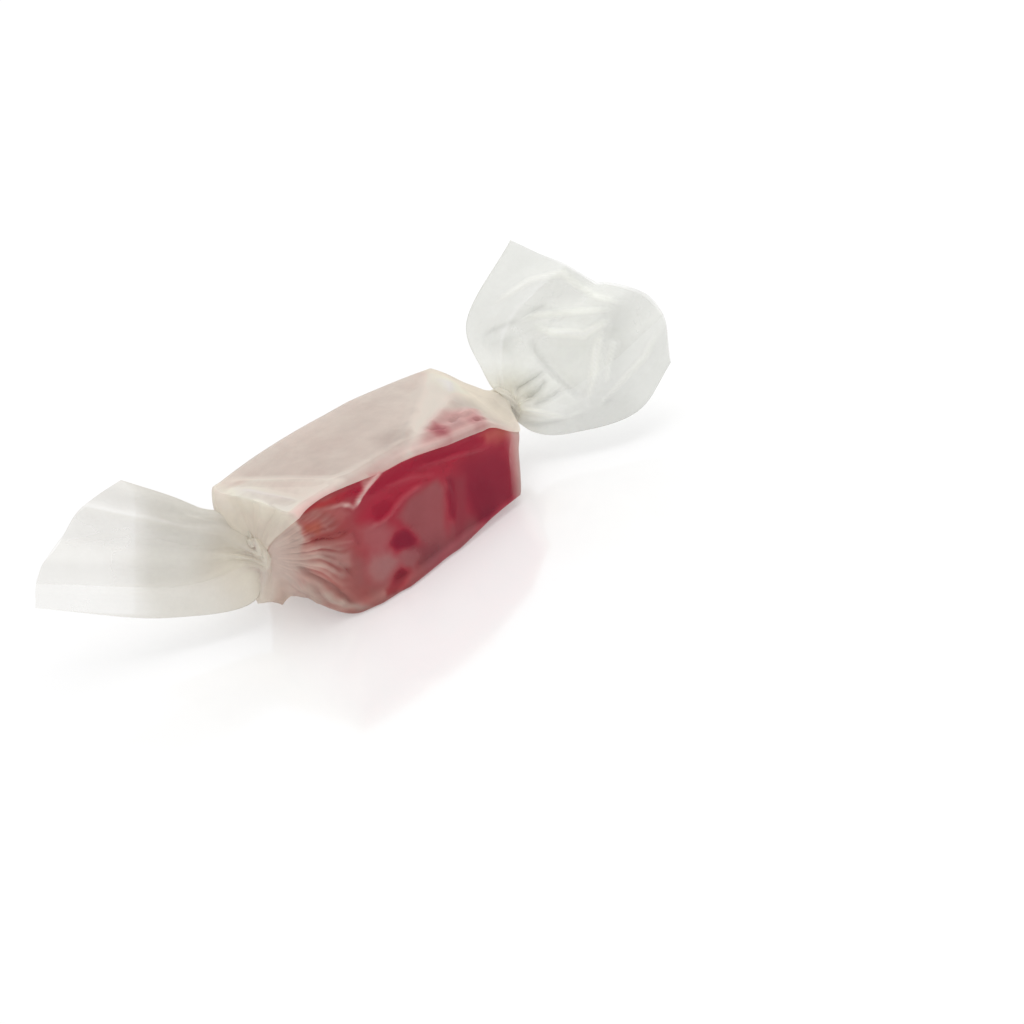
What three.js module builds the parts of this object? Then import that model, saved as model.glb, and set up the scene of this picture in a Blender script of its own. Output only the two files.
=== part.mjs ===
// A hard sweet in a twisted film wrapper, lying on its flat underside.
// Units are millimetres. X runs along the sweet to the raised tail, Y to its back, Z up.
// The origin is the middle of the flat underside that the sweet rests on.
// The wrapper is one skin: tail, twist, wrapped block, twist, tail, lofted as closed rings.
// A share round a ring is 0 at the top, a quarter at the front and a half at the underside.
import * as THREE from 'three';

// Wrapped block, measured over the film
const blockLength = 27;
const blockWidth = 13.5;
const blockHeight = 12;
const edgeRadius = 1.1;
const topSlope = 1.9 / blockLength;
const topCrown = 0.9;
const sideBow = 0.4;
const footSpread = 0.7;

// Twists, where the film is drawn in at each end of the block
const twistRadius = 1.5;
const twistLength = 1.2;
const twistTurn = 0.25;
const pleatDepth = 0.3;
const pleatCounts = [5, 8, 12];

// Tails, each a flattened tube of film
const tailThickness = 1;
const tailRoot = 0.14;
const tailWave = 0.55;
const tailWaveCounts = [1.5, 3.5];

// Fineness of the loft
const ringPoints = 48;
const bodySteps = 10;
const endSteps = 7;
const twistSteps = 4;
const tailSteps = 13;

const filmColor = 0xe2ddd2;

// At each end the block's foot lies further in than its top, by the slant.
// The bulge says how long the film holds the block's outline on its way to the twist.
const left = {
  sign: -1,
  slant: 4.2,
  bulge: 3.4,
  twist: new THREE.Vector3(-14.9, 0.2, 7.2),
  phase: 0.9,
};
const right = {
  sign: 1,
  slant: 2.5,
  bulge: 1.2,
  twist: new THREE.Vector3(16.9, 0, 6.1),
  phase: 2.1,
};

// Ribs span each tail from its twist to its cut edge, the upper side first.
left.ribs = [
  [[-15.8, 3.7, 10.6], [-17.6, 6.8, 13.1], [-20.8, 11.2, 16]],
  [[-19, 6, 11], [-24.6, 12.8, 14.7]],
  [[-20.6, 6.4, 9], [-28.6, 13.7, 12.2]],
  [[-20.8, 4.8, 6], [-31.6, 13.9, 9.8]],
  [[-16.9, -0.2, 3.2], [-23.9, 4.8, 3.6], [-33.1, 13.5, 7.6]],
].map((points) => rib(left.twist, points));
right.ribs = [
  [[17.1, 2.2, 9.5], [18.1, 4.5, 13.9], [25.8, 3.8, 20.2]],
  [[21, 1.8, 12.5], [29, -0.8, 17]],
  [[23.4, -1.6, 10.4], [32.4, -5, 13.6]],
  [[23.2, -4.6, 6.8], [33.3, -8.2, 10.3]],
  [[17.6, -2.6, 3.4], [20.6, -5.9, 2.2], [25.8, -9.6, 2.6], [31.4, -10.2, 6]],
].map((points) => rib(right.twist, points));

function rib(start, points) {
  const path = points.map((point) => new THREE.Vector3(...point));
  return new THREE.CatmullRomCurve3([start, ...path]);
}

function smooth(value) {
  return THREE.MathUtils.smoothstep(value, 0, 1);
}

function wrapShare(share) {
  return ((share % 1) + 1) % 1;
}

function ring(pointAt) {
  return Array.from({ length: ringPoints }, (unused, index) => pointAt(index / ringPoints));
}

// Rounded rectangle of the block's section, walked by its own length.
function sectionCurve() {
  const across = blockWidth / 2;
  const up = blockHeight / 2;
  const corners = [[-1, 1], [-1, -1], [1, -1], [1, 1]];
  const path = new THREE.Path();
  path.moveTo(0, up);
  path.lineTo(edgeRadius - across, up);
  corners.forEach(([sideways, upwards], index) => {
    const centre = [sideways * (across - edgeRadius), upwards * (up - edgeRadius)];
    const start = Math.PI / 2 * (index + 1);
    path.absarc(...centre, edgeRadius, start, start + Math.PI / 2);
  });
  path.lineTo(0, up);
  return path;
}

const section = sectionCurve();

// The block tapers to the right, widens to its foot and bows out between its ends.
function blockPoint(share, x) {
  const { x: across, y: up } = section.getPointAt(share);
  const along = (2 * x) / blockLength;
  const middle = 1 - along ** 2;
  const upShare = up / blockHeight + 0.5;
  const lean = left.slant * smooth(-along) - right.slant * smooth(along);
  return new THREE.Vector3(
    x + lean * (1 - upShare),
    across * (1 + (2 * (sideBow * middle + footSpread * (1 - upShare))) / blockWidth),
    upShare * (blockHeight - topSlope * x + topCrown * middle),
  );
}

function pleat(share, phase) {
  const waves = pleatCounts.map((count, index) => {
    return Math.cos(2 * Math.PI * count * share + phase * (index + 1));
  });
  return waves.reduce((sum, wave) => sum + wave, 0) / pleatCounts.length;
}

// Point on a twist's neck, where turned says how far the film has turned by there.
function neckPoint(side, share, along, turned) {
  const angle = 2 * Math.PI * (share + turned);
  const reach = twistRadius + pleatDepth * pleat(share, side.phase);
  const shift = side.sign * twistLength * (along - 0.5);
  return new THREE.Vector3(shift, -reach * Math.sin(angle), reach * Math.cos(angle)).add(side.twist);
}

// Film drawn from the edges of the block's end in to the neck, in pleats.
function endRing(side, inward) {
  return ring((share) => {
    const outer = blockPoint(share, (side.sign * blockLength) / 2);
    const inner = neckPoint(side, share, 0, 0);
    const point = outer.clone().lerp(inner, inward ** side.bulge);
    const rise = side.sign * pleatDepth * Math.sin(Math.PI * inward) * pleat(share, side.phase);
    point.x = THREE.MathUtils.lerp(outer.x, inner.x, inward) + rise;
    return point;
  });
}

function twistRing(side, along) {
  return ring((share) => neckPoint(side, share, along, twistTurn * along));
}

// Curve across the tail, through all its ribs at one share of their length.
function crossCurve(side, out) {
  return new THREE.CatmullRomCurve3(side.ribs.map((curve) => curve.getPointAt(out)));
}

// Thin wavy sheet. Both faces are set off from the same middle surface.
function tailRing(side, out) {
  const reach = 0.03;
  const middle = crossCurve(side, out);
  const nearer = crossCurve(side, Math.max(out - reach, reach));
  const farther = crossCurve(side, Math.min(out + reach, 1));
  const open = smooth(out / tailRoot);
  return ring((share) => {
    const turned = wrapShare(share + twistTurn);
    const front = turned < 0.5;
    const across = front ? 2 * turned : 2 - 2 * turned;
    const outwards = farther.getPoint(across).sub(nearer.getPoint(across));
    const normal = middle.getTangent(across).cross(outwards).normalize().multiplyScalar(side.sign);
    const inside = 1 - (2 * across - 1) ** 2;
    const half = (tailThickness / 2) * Math.sqrt(inside);
    const waves = tailWaveCounts.map((count) => Math.sin(2 * Math.PI * count * across + side.phase));
    const wave = tailWave * inside * out * waves.reduce((sum, value) => sum + value, 0);
    const sheet = middle.getPoint(across).addScaledVector(normal, wave + (front ? half : -half));
    return neckPoint(side, share, 1, twistTurn).lerp(sheet, open);
  });
}

// Runs an action for each share from one step up to the whole.
function eachStep(count, action) {
  return Array.from({ length: count }, (unused, index) => action((index + 1) / count));
}

// Rings from the block's end out to the tail's cut edge.
function sideRings(side) {
  return [
    ...eachStep(endSteps, (share) => endRing(side, share)),
    ...eachStep(twistSteps, (share) => twistRing(side, share)),
    ...eachStep(tailSteps, (share) => tailRing(side, share)),
  ];
}

function bodyRing(share) {
  return ring((around) => blockPoint(around, blockLength * (share - 0.5)));
}

// Skins the rings, and closes each cut edge between its two faces.
function skin(rings) {
  const triangles = [];
  const at = (row, column) => row * ringPoints + ((column + ringPoints) % ringPoints);
  const quad = (a, b, c, d) => {
    if (a !== b) triangles.push(a, b, c);
    if (c !== d) triangles.push(a, c, d);
  };
  const last = rings.length - 1;
  for (let row = 0; row < last; row += 1) {
    for (let column = 0; column < ringPoints; column += 1) {
      quad(at(row, column), at(row, column + 1), at(row + 1, column + 1), at(row + 1, column));
    }
  }
  const fold = Math.round((1 - twistTurn) * ringPoints);
  for (let step = 0; step < ringPoints / 2; step += 1) {
    const [front, back] = [fold + step, fold - step];
    quad(at(last, back), at(last, front), at(last, front + 1), at(last, back - 1));
    quad(at(0, front), at(0, back), at(0, back - 1), at(0, front + 1));
  }
  const geometry = new THREE.BufferGeometry();
  const positions = rings.flat().flatMap((point) => point.toArray());
  geometry.setAttribute('position', new THREE.Float32BufferAttribute(positions, 3));
  geometry.setIndex(triangles);
  geometry.computeVertexNormals();
  return geometry;
}

const rings = [
  ...sideRings(left).reverse(),
  bodyRing(0),
  ...eachStep(bodySteps, bodyRing),
  ...sideRings(right),
];

const film = new THREE.MeshStandardMaterial({ color: filmColor, roughness: 0.35, metalness: 0 });
const wrappedSweet = new THREE.Mesh(skin(rings), film);
wrappedSweet.name = 'wrapped_sweet';

const sweet = new THREE.Group();
sweet.add(wrappedSweet);

export default sweet;
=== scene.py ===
import math
from functools import partial
from types import SimpleNamespace

import bpy
import numpy as np
from mathutils import Matrix, Vector
from mathutils.geometry import delaunay_2d_cdt


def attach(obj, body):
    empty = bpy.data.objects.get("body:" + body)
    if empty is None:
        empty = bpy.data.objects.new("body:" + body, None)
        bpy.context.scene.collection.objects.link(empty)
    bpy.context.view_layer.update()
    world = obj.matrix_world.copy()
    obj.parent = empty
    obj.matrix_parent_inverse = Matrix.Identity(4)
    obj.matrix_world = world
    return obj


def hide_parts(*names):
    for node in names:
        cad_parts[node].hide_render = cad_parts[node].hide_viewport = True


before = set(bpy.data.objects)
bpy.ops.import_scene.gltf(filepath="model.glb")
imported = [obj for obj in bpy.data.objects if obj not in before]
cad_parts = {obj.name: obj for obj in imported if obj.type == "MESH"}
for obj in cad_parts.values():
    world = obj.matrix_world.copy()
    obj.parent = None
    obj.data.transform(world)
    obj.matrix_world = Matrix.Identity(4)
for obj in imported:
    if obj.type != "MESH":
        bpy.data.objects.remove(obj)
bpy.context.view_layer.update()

NODE = "wrapped_sweet"
MM = 0.001

# A length or share this small counts as none.
HAIR = 1e-6

# Wrapped block, measured over the film, as the solid has it
BLOCK_LENGTH = 27.0
BLOCK_WIDTH = 13.5
BLOCK_HEIGHT = 12.0
EDGE_RADIUS = 1.1
TOP_SLOPE = 1.9 / BLOCK_LENGTH
TOP_CROWN = 0.9
SIDE_BOW = 0.4
FOOT_SPREAD = 0.7

# The film turns under the block's foot more sharply than the solid does.
FOOT_RADIUS = 0.5

# Twists and tails, as the solid has them. Each side adds what only its film has: how far apart its
# two layers stand, its crumple, its creases and shades (patches of painted light and painted shade),
# where its layers are cut, and the lift of its root. Places in a tail go across it and out along it,
# as shares. A crease says whether it's in front, its width and height, how much lighter it is painted
# as a milkier fold with a painted highlight (below zero, darker with painted shade), and its path.
TWIST_RADIUS = 1.5
TWIST_LENGTH = 1.2
TWIST_TURN = 0.25
TAIL_ROOT = 0.14
TAIL_WAVE = 0.55
TAIL_WAVE_COUNTS = (1.5, 3.5)
LEFT = {
    "sign": -1,
    "slant": 4.2,
    "bulge": 3.4,
    "twist": (-14.9, 0.2, 7.2),
    "phase": 0.9,
    "puff": 0.65,
    "seed": 3,
    "cut_seed": 21,
    "rows": 56,
    "crumple": 0.5,
    "contrast": 1,
    "big": (5, 7),
    "little": (2.2, 4),
    "lift": (1, -0.4, 1.5),
    "front_cut": [(0, 1), (1, 1)],
    "back_cut": [
        (0, 0.05, 0.1, 0.2, 0.3, 0.4, 0.5, 0.6, 0.7, 0.8, 0.9, 0.97, 1),
        (1, 0.87, 0.83, 0.756, 0.7, 0.656, 0.62, 0.595, 0.58, 0.588, 0.61, 0.64, 1),
    ],
    "creases": [
        (True, 1.5, 0.22, 0.12, [(0.05, 0.2), (0.12, 0.4), (0.2, 0.62)]),
        (True, 1.5, -0.2, 0, [(0.3, 0.15), (0.26, 0.35), (0.33, 0.65)]),
        (True, 1.2, 0.15, 0.1, [(0.36, 0.66), (0.42, 0.8), (0.5, 0.97)]),
        (False, 1.5, 0.2, 0.08, [(0.45, 0.12), (0.65, 0.35), (0.72, 0.58)]),
        (True, 2, 0.2, 0.06, [(0.7, 0.1), (0.8, 0.35), (0.86, 0.8)]),
    ],
    "shades": [],
    "ribs": [
        [(-15.8, 3.7, 10.6), (-17.6, 6.8, 13.1), (-20.8, 11.2, 16)],
        [(-19, 6, 11), (-24.6, 12.8, 14.7)],
        [(-20.6, 6.4, 9), (-28.6, 13.7, 12.2)],
        [(-20.8, 4.8, 6), (-31.6, 13.9, 9.8)],
        [(-16.9, -0.2, 3.2), (-23.9, 4.8, 3.6), (-33.1, 13.5, 7.6)],
    ],
}
RIGHT = {
    "sign": 1,
    "slant": 2.5,
    "bulge": 1.2,
    "twist": (16.9, 0, 6.1),
    "phase": 2.1,
    "puff": 1.1,
    "seed": 8,
    "cut_seed": 22,
    "rows": 78,
    "crumple": 1.1,
    "contrast": 1.9,
    "big": (4.2, 5),
    "little": (2.2, 3),
    "lift": (0, 0, 0),
    "front_cut": [(0, 0.25, 0.415, 0.43, 0.5, 0.62, 1), (1, 0.97, 0.915, 0.94, 0.965, 1, 1)],
    "creases": [
        (True, 1.3, 0.7, 0.3, [
            (0.43, 0.1), (0.86, 0.125), (0.915, 0.35), (0.9, 0.52), (0.86, 0.66), (0.85, 0.81),
            (0.8, 0.97),
        ]),
        (True, 1.4, 0.6, 0.3, [
            (0.1, 0.6), (0.18, 0.79), (0.265, 0.91), (0.35, 0.86), (0.47, 0.82), (0.6, 0.85),
        ]),
        (True, 1.6, 0.6, 0.25, [(0.25, 0.5), (0.31, 0.56), (0.42, 0.63), (0.6, 0.81)]),
        (True, 1.2, 0.55, 0.3, [(0.37, 0.5), (0.48, 0.5), (0.595, 0.59), (0.615, 0.76)]),
        (True, 1, -0.5, -0.2, [(0.4, 0.43), (0.47, 0.356), (0.66, 0.325), (0.845, 0.42)]),
        (True, 1.3, -0.5, -0.2, [(0.1, 0.4), (0.15, 0.44), (0.27, 0.51), (0.34, 0.68)]),
        (True, 0.8, -0.5, -0.26, [(0.5, 0.1), (0.525, 0.13), (0.585, 0.25), (0.6, 0.3)]),
        (True, 0.7, -0.5, -0.26, [(0.76, 0.12), (0.7, 0.2), (0.65, 0.28)]),
        (True, 0.7, -0.5, -0.26, [(0.82, 0.16), (0.79, 0.24), (0.76, 0.33)]),
        (True, 1, 0.5, 0.3, [(0.63, 0.66), (0.7, 0.57), (0.775, 0.51), (0.87, 0.45)]),
        (True, 0.9, 0.4, 0.25, [(0.7, 0.7), (0.78, 0.6), (0.84, 0.56)]),
        (True, 1.1, -0.5, -0.25, [
            (0.985, 0.11), (0.95, 0.194), (0.925, 0.288), (0.915, 0.388), (0.9, 0.544), (0.88, 0.63),
        ]),
        (False, 1.8, 0.4, 0.1, [(0.2, 0.3), (0.4, 0.6), (0.5, 0.9)]),
        (False, 1.8, -0.4, 0.1, [(0.75, 0.3), (0.6, 0.6), (0.75, 0.95)]),
    ],
    # Patches painted lighter and darker: painted light and painted shade, and the darker ones are also
    # milkier.
    "shades": [
        (0.12, 0.06, [
            (0.49, 0.49), (0.5, 0.7), (0.55, 0.75), (0.8, 0.55), (0.85, 0.35), (0.8, 0.2), (0.62, 0.25),
        ]),
        (-0.3, 0.05, [(0.1, 0.4), (0.2, 0.44), (0.3, 0.41), (0.3, 0.32), (0.15, 0.32)]),
        (-0.15, 0.06, [(0.82, 0.5), (0.86, 0.7), (0.97, 0.7), (0.97, 0.4), (0.92, 0.3)]),
        (-0.2, 0.06, [(0.5, 0.75), (0.58, 0.85), (0.75, 0.75), (0.84, 0.6), (0.72, 0.6), (0.56, 0.72)]),
    ],
    "ribs": [
        [(17.1, 2.2, 9.5), (18.1, 4.5, 13.9), (25.8, 3.8, 20.2)],
        [(21, 1.8, 12.5), (29, -0.8, 17)],
        [(23.4, -1.6, 10.4), (32.4, -5, 13.6)],
        [(23.2, -4.6, 6.8), (33.3, -8.2, 10.3)],
        [(17.6, -2.6, 3.4), (20.6, -5.9, 2.2), (25.8, -9.6, 2.6), (31.4, -10.2, 6)],
    ],
}
RIGHT["back_cut"] = RIGHT["front_cut"]
TAIL_SIZE = (24, 20)

# Film sheet: it goes once round and overlaps itself on top, from the back edge to the front edge.
INNER_EDGE = -0.125
OUTER_EDGE = 1.137
OVERLAP_GAP = 0.4
FILM_COLUMNS = 284
BODY_ROWS = 140
END_ROWS = 26
TWIST_ROWS = 12

# The way round the block's section, the stretch of film that facets cover, the front's place, and
# how wide creases are painted
FILM_ROUND = 2 * (BLOCK_WIDTH + BLOCK_HEIGHT) - (8 - 2 * math.pi) * EDGE_RADIUS
BODY_SIZE = (68, 36)
FRONT_FACE = -7.3
CREASE_PAINT = 0.38
TAIL_PAINT = 0.46

# Sweet within the film: its rings are drawn in by insets, and its left end bulges by a share of the
# way to the twist.
CANDY_COLUMNS = 132
CANDY_END = 13.3
CANDY_RADIUS = 1.1
CANDY_BULGE = 0.58
LEFT_INSET = 1.8
CANDY_CLOSED = 6.2
CANDY_HALF = 6.25
CANDY_MIDDLE = 6.1
FILM_TOP = 13

# Creases of the film over the block: width, height, how much lighter each is painted as a milkier fold
# with a painted highlight (below zero, darker with painted shade), and the path.
# Those of the outer layer go along the block and forward from the top's middle, round the edge.
OUTER_CREASES = [
    (1.2, 0.25, 0.05, [(13.5, -5.2), (9.2, -1.3), (3.3, 3.7), (-0.6, 6.3)]),
    (0.9, 0.25, 0.1, [(13.5, -2.8), (9.8, 1.7), (6.3, 3.9), (3.6, 5.2)]),
    (0.45, 0.3, 0.15, [(8.5, 4.7), (10, 4.2), (12.4, 3.1)]),
    (0.4, -0.3, -0.15, [(6.6, 5.2), (7.5, 4.9), (8.2, 4.4)]),
    (0.4, -0.3, -0.2, [(3.9, 5.4), (4.6, 5.4), (5.6, 5.9)]),
    (0.4, -0.3, -0.3, [(8.9, 5.9), (9.8, 6), (10.6, 5.6)]),
    (0.45, 0.3, 0.1, [(-4, 7), (-1.1, 6.9), (1.4, 6.8), (3.9, 6.8)]),
    (0.45, 0.3, 0.3, [(0.5, 6.9), (3.9, 6.8), (6.6, 6.6), (9.2, 6.4), (11.2, 6.2)]),
    (0.9, 0.2, 0.1, [(-13.2, -5.2), (-8, 5), (-5.5, 6.5)]),
    (0.8, 0.2, 0.1, [(-13.4, -2.6), (-11.9, 5.3)]),
]
# Those of the front go along and up.
FRONT_CREASES = [
    (0.45, 0.5, 0.85, [(-2.9, 12.4), (-3.7, 12.2), (-5.5, 11.6), (-6.4, 11.2), (-7.5, 10.5)]),
    (0.4, 0.3, 0.85, [
        (-13.3, 12.2), (-12.1, 12.3), (-11.3, 12.2), (-10.4, 11.8), (-8.7, 11.4), (-7.8, 10.7),
    ]),
    (0.5, 0.25, 0.5, [(-8.7, 11.2), (-8.1, 11.1), (-7.7, 10.5), (-7.3, 10.6), (-6.8, 11.1)]),
    (0.5, 0.3, 0.17, [
        (0.6, 8.6), (-0.6, 8.7), (-2.4, 8.5), (-3.5, 8.1), (-4.2, 7.8), (-5, 7.6), (-6, 7.6), (-7.1, 7.5),
    ]),
    (0.45, 0.25, 0.2, [(-2.3, 3.6), (-2.4, 3.3), (-2.6, 2), (-2.8, 0.9), (-2.9, 0.2)]),
    (0.6, 0.2, 0.08, [(-4.2, 10.6), (-0.6, 9.9), (2.2, 8.9)]),
    (0.5, 0.2, 0.06, [(2.9, 8), (3, 5), (2.2, 1.4)]),
    (0.5, 0.2, 0.08, [(-0.4, 10.8), (2.4, 10.2), (5.5, 9.7), (9.2, 8.8)]),
    (0.4, 0.2, 0.5, [(-11.2, 10.4), (-10.8, 9.8)]),
]
# Those of the block's left end go across and up from the twist, seen along a line from the front.
KNOT_VIEW = (-1.9, -7.5, 3.5)
END_CREASES = [
    (0.55, -0.35, -0.6, [
        (2, -1.7), (2.4, -2.8), (3.1, -4), (3.6, -4.6), (4.2, -5.4), (4.6, -6.1), (5.5, -7.7), (6, -8.2),
    ]),
    (0.35, -0.2, -0.25, [(2.9, -1.5), (3.8, -2.1), (4.9, -2.6), (5.6, -3.3)]),
    (0.35, -0.2, -0.25, [(5.6, -3.5), (6.2, -4.4), (6.6, -5.6)]),
    (0.4, -0.2, -0.3, [(3.7, -0.5), (5.2, -0.7), (6.5, -0.9), (7.8, -1.2)]),
    (0.5, -0.15, -0.2, [(8, -1.3), (8.1, -2), (8.3, -3.1)]),
    (0.6, 0.3, 0.15, [(2.2, -3.5), (2.7, -4.6), (3.4, -5.5), (4.2, -6.6), (5.4, -7.8)]),
    (0.4, 0.2, 0.12, [(2.6, -0.9), (4.4, -1.3), (6.4, -1.8), (8, -2.3)]),
    (0.4, 0.2, 0.12, [(2.8, -2.2), (4.3, -3.3), (5.5, -4.9)]),
]

# Patches of that end, outlined the same way: how much more it clings, how much lighter it is painted
# (painted light; below zero, painted shade), how soft the border is, and the outline
END_PATCHES = [
    (-0.35, 0.08, 0.25, [
        (2.9, 3), (3, 1.2), (2.9, -0.3), (2.4, -1.6), (2.1, -2.8), (1.4, -3.2), (0.9, -1.8), (0, 0),
        (1.3, 0.8),
    ]),
    (-0.3, 0.1, 0.6, [
        (2.5, -1), (4.2, -1.6), (7.2, -2.8), (7.2, -5.4), (5.6, -4.8), (4.1, -3.2), (2.3, -2.4),
    ]),
    (0, -0.18, 0.4, [(3.2, -4.4), (4.4, -5.4), (5.6, -7.4), (5.2, -8), (4.2, -7), (3, -5.4)]),
    (0, -0.2, 0.5, [(2.4, -4.5), (3.7, -5.5), (5.1, -7.2), (5.5, -8), (3.5, -7.2), (2.4, -5.6)]),
    (-0.33, -0.05, 0.4, [
        (2.1, -4.6), (2.7, -5.8), (3.6, -7.2), (4.8, -8.4), (7.5, -9.2), (7, -8.2), (5.4, -8),
        (4.4, -6.9), (3.4, -5.6), (2.6, -4.2),
    ]),
]

# Patches of the block's front through the film: how much of the sweet's colour shows, how light
# that colour is, how much lighter all is painted (painted light; below zero, painted shade), how soft
# the border is, and the outline, along and up
FRONT_PATCHES = [
    (0.58, 0.45, -0.3, 0.7, [
        (-3.4, 7), (-1.7, 8.2), (0.6, 8.3), (2.2, 8.1), (2.6, 7), (2, 5.3), (1, 3), (1.2, 1.2),
        (-0.8, 1.4), (-2.1, 3.1), (-2.5, 4.9),
    ]),
    (0.66, 0.3, -0.15, 0.9, [(-0.7, 0.3), (1.6, 3.4), (4.6, 2.6), (5.6, 1.2), (2.6, -0.3)]),
    (0.93, 0.08, 0, 1.6, [
        (5.4, 8.2), (10.2, 7), (11.1, 4.6), (10.2, 1.1), (7.4, 1), (4.9, 2.4), (4.2, 4.6),
    ]),
    (0.78, 0.2, -0.1, 0.7, [(3.8, 7.2), (5.3, 6.5), (4.6, 4.2), (3.1, 1.7), (1.8, 1.4), (2.9, 4.1)]),
    (0.98, 0, -0.08, 0.8, [
        (5.4, 5.4), (7.6, 5.2), (8.2, 3.4), (7.4, 1.4), (6.2, 0.6), (5.1, 1.6), (4.9, 3.6),
    ]),
    (0.6, 0.9, 0, 0.9, [(9, 9.2), (11.8, 8.7), (11.8, 7.4), (10.2, 7.8), (9.2, 8.4)]),
    (0.92, 0.1, -0.1, 0.35, [(3.3, 7.6), (4, 7.1), (3.4, 5.1), (2.6, 3.4), (2.1, 3.8), (2.4, 5.6)]),
    (0.88, 0.6, 0, 0.9, [
        (-7.7, 9.1), (-5.4, 10), (-2.3, 10), (2.3, 9.3), (6, 9), (6, 8.2), (2, 8.3), (-0.7, 8.5),
        (-2.9, 8.1), (-4.5, 7.5), (-6.5, 7.7),
    ]),
    (0.96, 0.4, 0, 0.4, [
        (-6, 11), (-4.5, 11.4), (-2.4, 11.6), (1, 11.2), (5, 10), (9, 9.1), (9, 8.5), (4, 9.4),
        (-1, 10.4), (-4.5, 10.4),
    ]),
    (0.58, 0.5, 0, 0.9, [
        (-7.9, 8), (-7, 8.2), (-5, 7.2), (-4.3, 6), (-5.2, 4.8), (-6, 3.9), (-7.6, 5.1), (-8.1, 6.5),
    ]),
    (1, 0.5, -0.2, 0.45, [
        (-6, 8.3), (-5.5, 9.3), (-4.4, 9.3), (-3.6, 8.7), (-3.8, 8.2), (-4.8, 7.8), (-5.7, 7.7),
    ]),
    (1, 0, -0.05, 0.4, [
        (-5, 5), (-4.4, 5.5), (-3.4, 5.5), (-2.7, 4.8), (-2.6, 3.8), (-3.3, 2.9), (-4, 3.8), (-4.8, 4.1),
    ]),
    (0.42, 0.5, -0.1, 0.8, [
        (-8.3, 4.1), (-7.4, 4.8), (-5.5, 4.1), (-4.5, 2.8), (-5.7, 2.1), (-7.2, 1.6), (-8.5, 2.2),
    ]),
    (0.66, 0.2, -0.25, 0.8, [
        (-3.2, 3.4), (-0.4, 2.6), (0.4, 1.2), (-1.2, 0.3), (-6, 0), (-5, 1.2), (-3.4, 1.8),
    ]),
    (0.5, 0.2, -0.15, 0.8, [(-9, 2), (-7, 1.4), (-6, 0), (-8.6, 0), (-9.6, 0.8)]),
    (0.58, 0.1, -0.05, 0.7, [(-9.1, 5.8), (-8.3, 4.8), (-9.2, 2.4), (-10.4, 2.7), (-10.1, 4.6)]),
    (0.55, 0.3, 0, 0.5, [(-4.8, 3.4), (-4.2, 3.7), (-3, 3.2), (-2.8, 2.2), (-4, 1.5), (-4.8, 2.2)]),
    (0.95, 0.05, -0.25, 0.3, [
        (-5.1, 2.1), (-4.8, 1.4), (-5.8, 0.8), (-6.8, 0.4), (-7.8, 0.6), (-7.6, 1.1), (-6.6, 1.4),
        (-5.7, 2),
    ]),
    (0.42, 0.9, 0.1, 0.3, [(-5.8, 12.3), (-5.1, 12.8), (-3.8, 12.4), (-4.7, 11.9), (-5.9, 11.5)]),
    (0.97, 0.5, 0, 0.25, [
        (-12.6, 12.75), (-10.7, 12.65), (-7.9, 12.25), (-6, 11.9), (-6, 11.4), (-7.6, 11.5),
        (-9.8, 12.05), (-12.3, 12.5),
    ]),
    (0.58, 0.9, 0, 0.6, [(-13.1, 11.9), (-11.8, 11.5), (-11.3, 10.5), (-11.9, 10), (-13.2, 10.8)]),
    (0.55, 0.6, 0, 0.5, [
        (-10.9, 11.8), (-8.6, 11.1), (-8.2, 10.2), (-9.1, 9.6), (-9.8, 10.1), (-10.1, 11.1),
    ]),
    (0.74, 0.3, 0, 0.45, [
        (-8.6, 10), (-8, 9.4), (-8.5, 8.2), (-9.7, 8.5), (-11.4, 9.1), (-12.9, 9.4), (-13, 9.9),
        (-11.6, 9.9), (-10.4, 9.4),
    ]),
]
# The same for the outer layer: along, and forward from the top's middle
OUTER_PATCHES = [
    (0.15, 0.8, 0, 0.5, [(-13.5, 5.9), (-11, 6.1), (-8.5, 6.4), (-8.5, 7.2), (-13.5, 7.2)]),
    (0.27, 0.9, 0, 0.3, [(-5, 6.4), (-2, 6.7), (1.5, 6.7), (5, 6.4), (5, 7.6), (-5, 7.6)]),
    (0.3, 0.5, 0, 0.7, [
        (0.7, 6.4), (2.6, 5.5), (5.1, 4.1), (7.6, 3.2), (9.7, 3.6), (12, 3), (9.8, 6.5), (4.1, 6.8),
    ]),
    (0.68, 0.1, 0, 0.6, [(3.9, 5), (5.2, 4.4), (5.6, 5.4), (5, 6.2), (4, 5.8)]),
    (0.5, 0.2, 0, 0.5, [(8.6, 5.3), (10.1, 4.7), (10.4, 5.5), (9.4, 6.4), (8.4, 6.3)]),
    (0.38, 0.1, 0, 0.45, [(7.3, 4.4), (8.2, 4.4), (7.5, 5.5), (6.6, 5.4)]),
]
# Patches of the front where the film looks warm brown: how much, how soft, and the outline
WARM_PATCHES = [
    (0.36, 0.35, [(-13.1, 11.6), (-11.8, 11.3), (-11.3, 10.5), (-11.9, 10), (-13.2, 10.8)]),
    (0.45, 0.8, [(9, 9.2), (11.9, 8.7), (12, 7.2), (10.6, 7.6), (9.4, 8.4)]),
    (0.2, 1.5, [(-9, 0), (-3, 0), (-3, 1.5), (-9, 1.5)]),
]
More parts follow.
